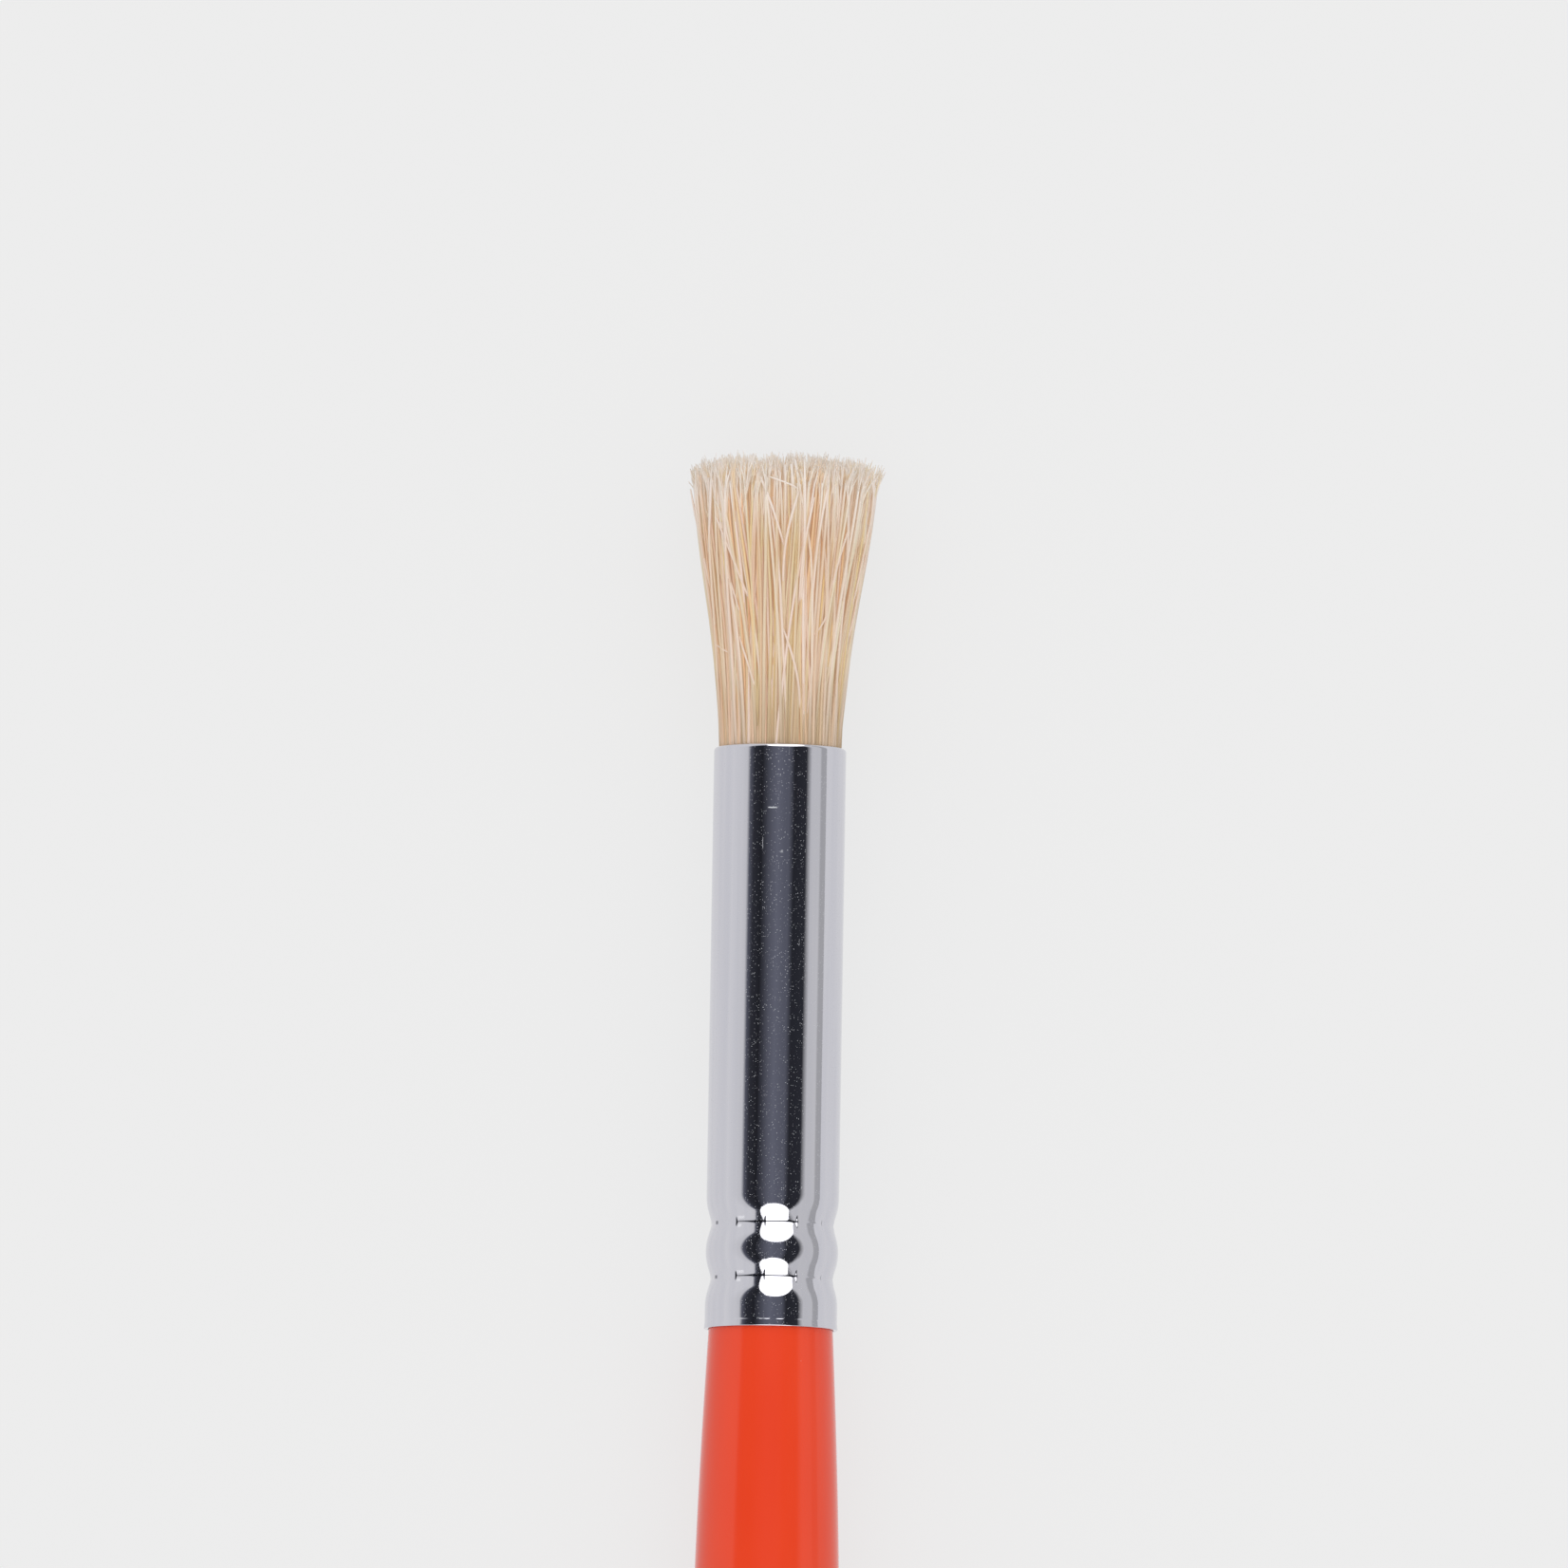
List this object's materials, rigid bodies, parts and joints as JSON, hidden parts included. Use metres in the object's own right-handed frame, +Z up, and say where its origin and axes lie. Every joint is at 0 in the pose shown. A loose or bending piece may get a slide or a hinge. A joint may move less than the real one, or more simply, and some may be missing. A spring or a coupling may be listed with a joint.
{
  "type": "stencil brush",
  "caption": "Round stencil brush with a flat-cut flared bristle tuft, a crimped plated ferrule and a lacquered wooden handle.",
  "frame": {"origin": "on the surface the brush lies on, below the middle of its bounding box", "axes": "+Z up; +Y along the brush towards the hair; the brush's own axis rises 0.87 degrees towards +Y"},
  "size_m": [0.014, 0.1956, 0.014],
  "materials": {
    "bristle": "satin",
    "nickel": "polished",
    "lacquer": "gloss",
    "wood": "matte",
    "thread": "matte",
    "resin": "gloss",
    "glue": "satin"
  },
  "bodies": {
    "root": {"ferrule": "nickel", "bristle_tuft": "bristle", "binding_thread": "thread", "resin_plug": "resin", "tenon_glue": "glue", "handle_core": "wood", "handle_lacquer": "lacquer"}
  },
  "joints": []
}
